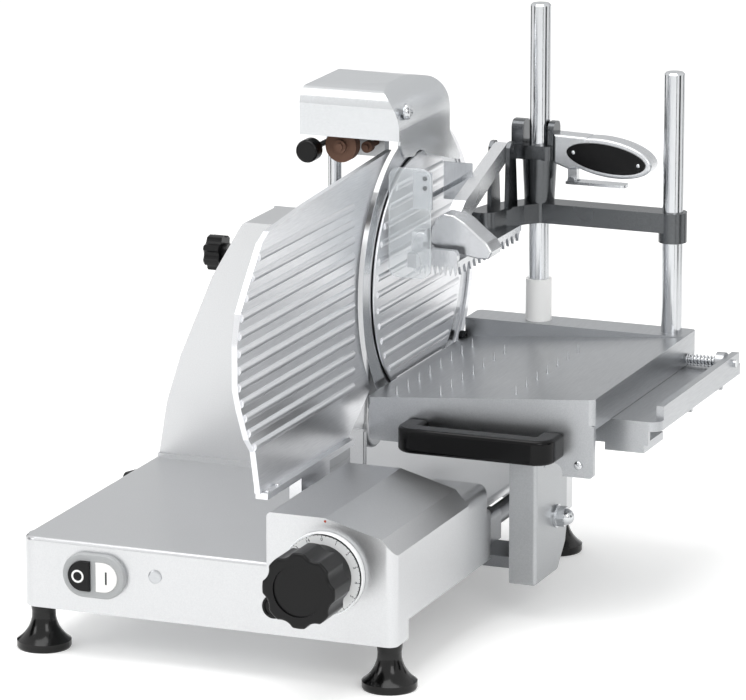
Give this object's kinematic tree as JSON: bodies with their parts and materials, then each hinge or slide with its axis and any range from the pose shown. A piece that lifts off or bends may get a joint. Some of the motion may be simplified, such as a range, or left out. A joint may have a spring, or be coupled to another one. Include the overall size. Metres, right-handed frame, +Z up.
{
  "type": "vertical meat slicer",
  "caption": "Electric vertical meat slicer: ribbed thickness plate beside an upright round blade, sliding spiked table with rod press, thickness dial and push button switch.",
  "frame": {"origin": "middle of the front left foot's ground face", "axes": "+X to the operator's right, +Y away from the operator along the carriage's travel, +Z up"},
  "size_m": [0.584, 0.674, 0.581],
  "materials": {
    "cast_aluminium": "satin, fine grained",
    "polished_aluminium": "anodised, brushed",
    "stainless_steel": "bright",
    "plain_steel": "ground",
    "chrome_plated": "bright plated",
    "black_plastic": "fine textured black",
    "gloss_black": "gloss black",
    "white_plastic": "smooth white",
    "grey_plastic": "satin grey",
    "foot_rubber": "matt black",
    "belt_rubber": "ribbed black",
    "motor_paint": "grey enamel",
    "pulley_metal": "turned",
    "abrasive": "bonded grit, modelled with its steel spindle",
    "clear_guard": "clear polycarbonate sheet"
  },
  "bodies": {
    "frame": {"base_casting": "cast_aluminium", "base_bottom_cover": "stainless_steel", "feet": "foot_rubber", "switch_bezel": "grey_plastic", "switch_block": "black_plastic", "front_plug": "plain_steel", "lower_cap": "black_plastic", "cable_gland": "black_plastic", "upright_casting": "cast_aluminium", "rear_cover": "stainless_steel", "blade_carrier": "cast_aluminium", "blade_bearing": "plain_steel", "drive_motor": "motor_paint", "drive_belt": "belt_rubber", "blade_cover": "polished_aluminium", "cover_tie_rod": "plain_steel", "blade_guard_ring": "polished_aluminium", "guide_rod": "plain_steel", "guide_bar": "plain_steel"},
    "stop_button": {"stop_button": "black_plastic"},
    "start_button": {"start_button": "white_plastic"},
    "dial": {"dial_knob": "black_plastic", "dial_spindle": "plain_steel", "dial_ring": "grey_plastic"},
    "gauge": {"gauge_plate": "polished_aluminium", "gauge_shafts": "plain_steel", "gauge_crossbar": "plain_steel"},
    "blade_unit": {"blade": "stainless_steel", "blade_shaft": "plain_steel", "blade_screws": "stainless_steel", "blade_pulley": "pulley_metal"},
    "motor_rotor": {"motor_pulley": "plain_steel"},
    "cover_knob": {"cover_knob": "black_plastic"},
    "sharpener": {"sharpener_cover": "polished_aluminium", "sharpener_frame": "cast_aluminium", "sharpener_post": "plain_steel"},
    "sharpener_button": {"sharpener_button": "black_plastic"},
    "grinding_stone": {"grinding_stone": "abrasive"},
    "deburring_stone": {"deburring_stone": "abrasive"},
    "lock_knob": {"lock_knob": "black_plastic"},
    "carriage": {"carriage_leg": "cast_aluminium", "carriage_arm": "cast_aluminium", "leg_nut": "stainless_steel", "tray": "polished_aluminium", "table_rod": "stainless_steel", "table_spring": "stainless_steel"},
    "table": {"meat_table": "polished_aluminium", "table_spikes": "stainless_steel", "table_handle": "black_plastic", "tall_rod": "stainless_steel", "short_rod": "stainless_steel", "rod_collar": "white_plastic"},
    "press": {"cross_arm": "cast_aluminium", "lever_handle": "cast_aluminium", "grip_insert": "gloss_black", "press_body": "polished_aluminium", "hand_guard": "clear_guard"},
    "brake_lever": {"brake_lever": "chrome_plated"},
    "press_lever": {"press_lever": "stainless_steel", "palm_grip": "cast_aluminium"}
  },
  "joints": [
    {"name": "stop_press", "type": "slide", "parent": "frame", "child": "stop_button", "axis": [0, 1, 0], "range_m": [0, 0.003], "stiffness_N_per_m": 400},
    {"name": "start_press", "type": "slide", "parent": "frame", "child": "start_button", "axis": [0, 1, 0], "range_m": [0, 0.003], "stiffness_N_per_m": 400},
    {"name": "dial_turn", "type": "hinge", "parent": "frame", "child": "dial", "pos_m": [0.313, -0.021, 0.116], "axis": [0, 1, 0], "range_deg": [0, 330]},
    {"name": "gauge_slide", "type": "slide", "parent": "frame", "child": "gauge", "axis": [-1, 0, 0], "range_m": [0, 0.015]},
    {"name": "blade_spin", "type": "hinge", "parent": "frame", "child": "blade_unit", "pos_m": [0.236, 0.414, 0.317], "axis": [1, 0, 0], "continuous": true},
    {"name": "motor_spin", "type": "hinge", "parent": "frame", "child": "motor_rotor", "pos_m": [0.191, 0.3475, 0.172], "axis": [1, 0, 0], "continuous": true},
    {"name": "cover_knob_turn", "type": "hinge", "parent": "frame", "child": "cover_knob", "pos_m": [0.161, 0.414, 0.317], "axis": [1, 0, 0], "range_deg": [-360, 360]},
    {"name": "sharpener_lift", "type": "slide", "parent": "frame", "child": "sharpener", "axis": [0, 0, 1], "range_m": [0, 0.04]},
    {"name": "sharpener_press", "type": "slide", "parent": "sharpener", "child": "sharpener_button", "axis": [0, 1, 0], "range_m": [0, 0.004], "stiffness_N_per_m": 300},
    {"name": "grinding_stone_spin", "type": "hinge", "parent": "sharpener", "child": "grinding_stone", "pos_m": [0.18, 0.353, 0.458], "axis": [0, 1, 0], "continuous": true},
    {"name": "deburring_stone_spin", "type": "hinge", "parent": "sharpener", "child": "deburring_stone", "pos_m": [0.203, 0.365, 0.456], "axis": [0, 1, 0], "continuous": true},
    {"name": "lock_knob_turn", "type": "hinge", "parent": "frame", "child": "lock_knob", "pos_m": [0.031, 0.373, 0.328], "axis": [1, 0, 0], "range_deg": [-360, 360]},
    {"name": "carriage_slide", "type": "slide", "parent": "frame", "child": "carriage", "axis": [0, -1, 0], "range_m": [0, 0.268]},
    {"name": "table_slide", "type": "slide", "parent": "carriage", "child": "table", "axis": [1, 0, 0], "range_m": [0, 0.012], "stiffness_N_per_m": 500, "deforming": ["table_spring"]},
    {"name": "press_lift", "type": "slide", "parent": "table", "child": "press", "axis": [0, 0, 1], "range_m": [-0.06, 0.12]},
    {"name": "brake_squeeze", "type": "hinge", "parent": "press", "child": "brake_lever", "pos_m": [0.358, 0.561, 0.395], "axis": [0, 1, 0], "range_deg": [-6, 0], "stiffness_Nm_per_rad": 0.2},
    {"name": "press_lever_swing", "type": "hinge", "parent": "press", "child": "press_lever", "pos_m": [0.293, 0.519, 0.43], "axis": [1, 0, 0], "range_deg": [-15, 0]}
  ],
  "couplings": [
    {"joint": "gauge_slide", "follows": "dial_turn", "m_per_rad": 0.0026},
    {"joint": "motor_spin", "follows": "blade_spin", "ratio": 4.1429}
  ]
}
